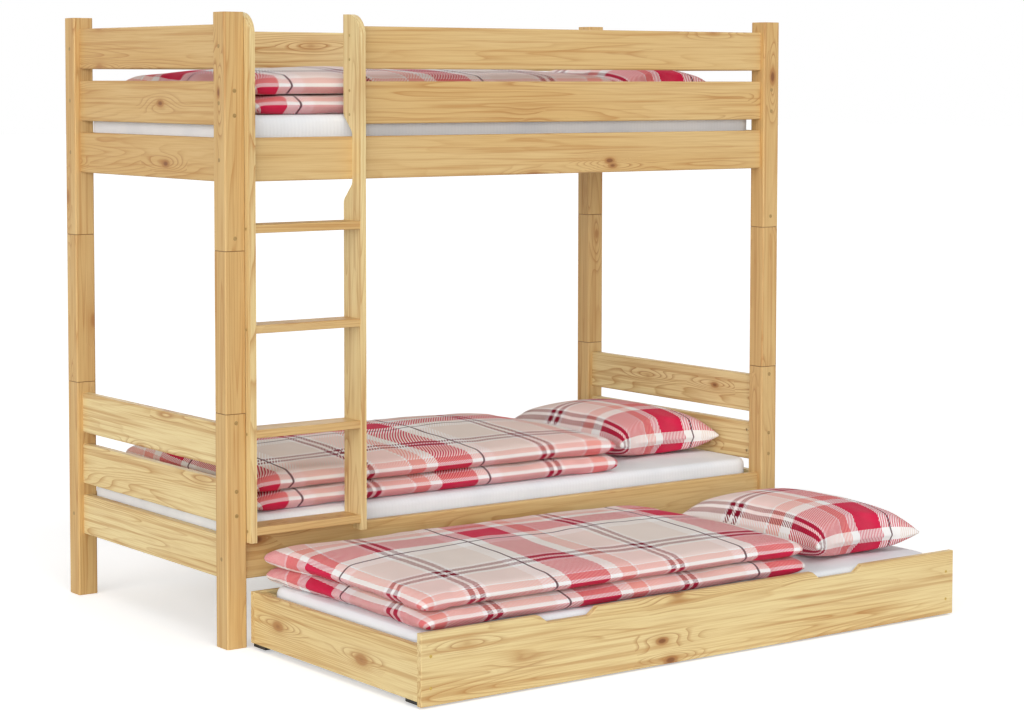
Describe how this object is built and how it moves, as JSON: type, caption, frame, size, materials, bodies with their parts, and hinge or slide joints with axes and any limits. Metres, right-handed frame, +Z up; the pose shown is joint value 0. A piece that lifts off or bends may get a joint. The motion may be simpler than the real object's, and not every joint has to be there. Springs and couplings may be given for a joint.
{
  "type": "trundle bed",
  "caption": "Pine bunk bed with a hung ladder and a wheeled trundle bed that rolls out from underneath, with mattresses, folded plaid duvets and pillows.",
  "frame": {"origin": "on the floor, in the middle of the whole footprint with the trundle pulled out", "axes": "+X along the beds toward the pillows, +Y from the trundle's front to the bunk's back, +Z up"},
  "size_m": [2.1, 1.877, 1.816],
  "materials": {
    "pine_post": "satin",
    "pine_end_board": "satin",
    "pine_rail": "satin",
    "pine_stile": "satin",
    "pine_rung": "satin",
    "pine_slat": "matte",
    "pine_trundle": "satin",
    "beech_pin": "matte",
    "zinc_steel": "satin",
    "cover_cap": "matte",
    "wheel": "satin",
    "mattress_fabric": "matte",
    "duvet_fabric": "matte",
    "pillow_fabric": "matte"
  },
  "bodies": {
    "bed_frame": {"barrel_nuts": "zinc_steel", "cover_caps": "cover_cap", "duvet_lower": "duvet_fabric", "duvet_upper": "duvet_fabric", "end_boards_left_lower": "pine_end_board", "end_boards_left_upper": "pine_end_board", "end_boards_right_lower": "pine_end_board", "end_boards_right_upper": "pine_end_board", "frame_bolts": "zinc_steel", "guard_middle_back_upper": "pine_rail", "guard_middle_front_upper": "pine_rail", "guard_top_back_upper": "pine_rail", "guard_top_front_upper": "pine_rail", "ladder_rung_1": "pine_rung", "ladder_rung_2": "pine_rung", "ladder_rung_3": "pine_rung", "ladder_rung_4": "pine_rung", "ladder_stile_left": "pine_stile", "ladder_stile_right": "pine_stile", "mattress_lower": "mattress_fabric", "mattress_upper": "mattress_fabric", "pillow_lower": "pillow_fabric", "pillow_upper": "pillow_fabric", "post_back_left_lower": "pine_post", "post_back_left_riser": "pine_post", "post_back_left_upper": "pine_post", "post_back_right_lower": "pine_post", "post_back_right_riser": "pine_post", "post_back_right_upper": "pine_post", "post_front_left_lower": "pine_post", "post_front_left_riser": "pine_post", "post_front_left_upper": "pine_post", "post_front_right_lower": "pine_post", "post_front_right_riser": "pine_post", "post_front_right_upper": "pine_post", "post_pins": "beech_pin", "rail_back_lower": "pine_rail", "rail_back_upper": "pine_rail", "rail_front_lower": "pine_rail", "rail_front_upper": "pine_rail", "slat_cleats": "pine_slat", "slats_lower": "pine_slat", "slats_upper": "pine_slat", "wood_screws": "zinc_steel"},
    "trundle": {"duvet_trundle": "duvet_fabric", "mattress_trundle": "mattress_fabric", "pillow_trundle": "pillow_fabric", "trundle_back": "pine_trundle", "trundle_battens": "pine_trundle", "trundle_front": "pine_trundle", "trundle_left": "pine_trundle", "trundle_plugs": "cover_cap", "trundle_right": "pine_trundle", "trundle_screws": "zinc_steel", "trundle_slats": "pine_slat", "wheel_brackets": "zinc_steel"},
    "wheel_back_left": {"wheel_back_left": "wheel"},
    "wheel_back_right": {"wheel_back_right": "wheel"},
    "wheel_front_left": {"wheel_front_left": "wheel"},
    "wheel_front_right": {"wheel_front_right": "wheel"}
  },
  "joints": [
    {"name": "trundle_slide", "type": "slide", "parent": "bed_frame", "child": "trundle", "axis": [0, 1, 0], "range_m": [0, 0.877], "deforming": ["duvet_trundle", "pillow_trundle"]},
    {"name": "wheel_back_left_roll", "type": "hinge", "parent": "trundle", "child": "wheel_back_left", "pos_m": [-0.949, -0.1175, 0.02], "axis": [1, 0, 0], "range_deg": [-2520, 0]},
    {"name": "wheel_back_right_roll", "type": "hinge", "parent": "trundle", "child": "wheel_back_right", "pos_m": [0.949, -0.1175, 0.02], "axis": [1, 0, 0], "range_deg": [-2520, 0]},
    {"name": "wheel_front_left_roll", "type": "hinge", "parent": "trundle", "child": "wheel_front_left", "pos_m": [-0.949, -0.8945, 0.02], "axis": [1, 0, 0], "range_deg": [-2520, 0]},
    {"name": "wheel_front_right_roll", "type": "hinge", "parent": "trundle", "child": "wheel_front_right", "pos_m": [0.949, -0.8945, 0.02], "axis": [1, 0, 0], "range_deg": [-2520, 0]}
  ],
  "couplings": [
    {"joint": "wheel_back_left_roll", "follows": "trundle_slide", "rad_per_m": -50},
    {"joint": "wheel_back_right_roll", "follows": "trundle_slide", "rad_per_m": -50},
    {"joint": "wheel_front_left_roll", "follows": "trundle_slide", "rad_per_m": -50},
    {"joint": "wheel_front_right_roll", "follows": "trundle_slide", "rad_per_m": -50}
  ]
}
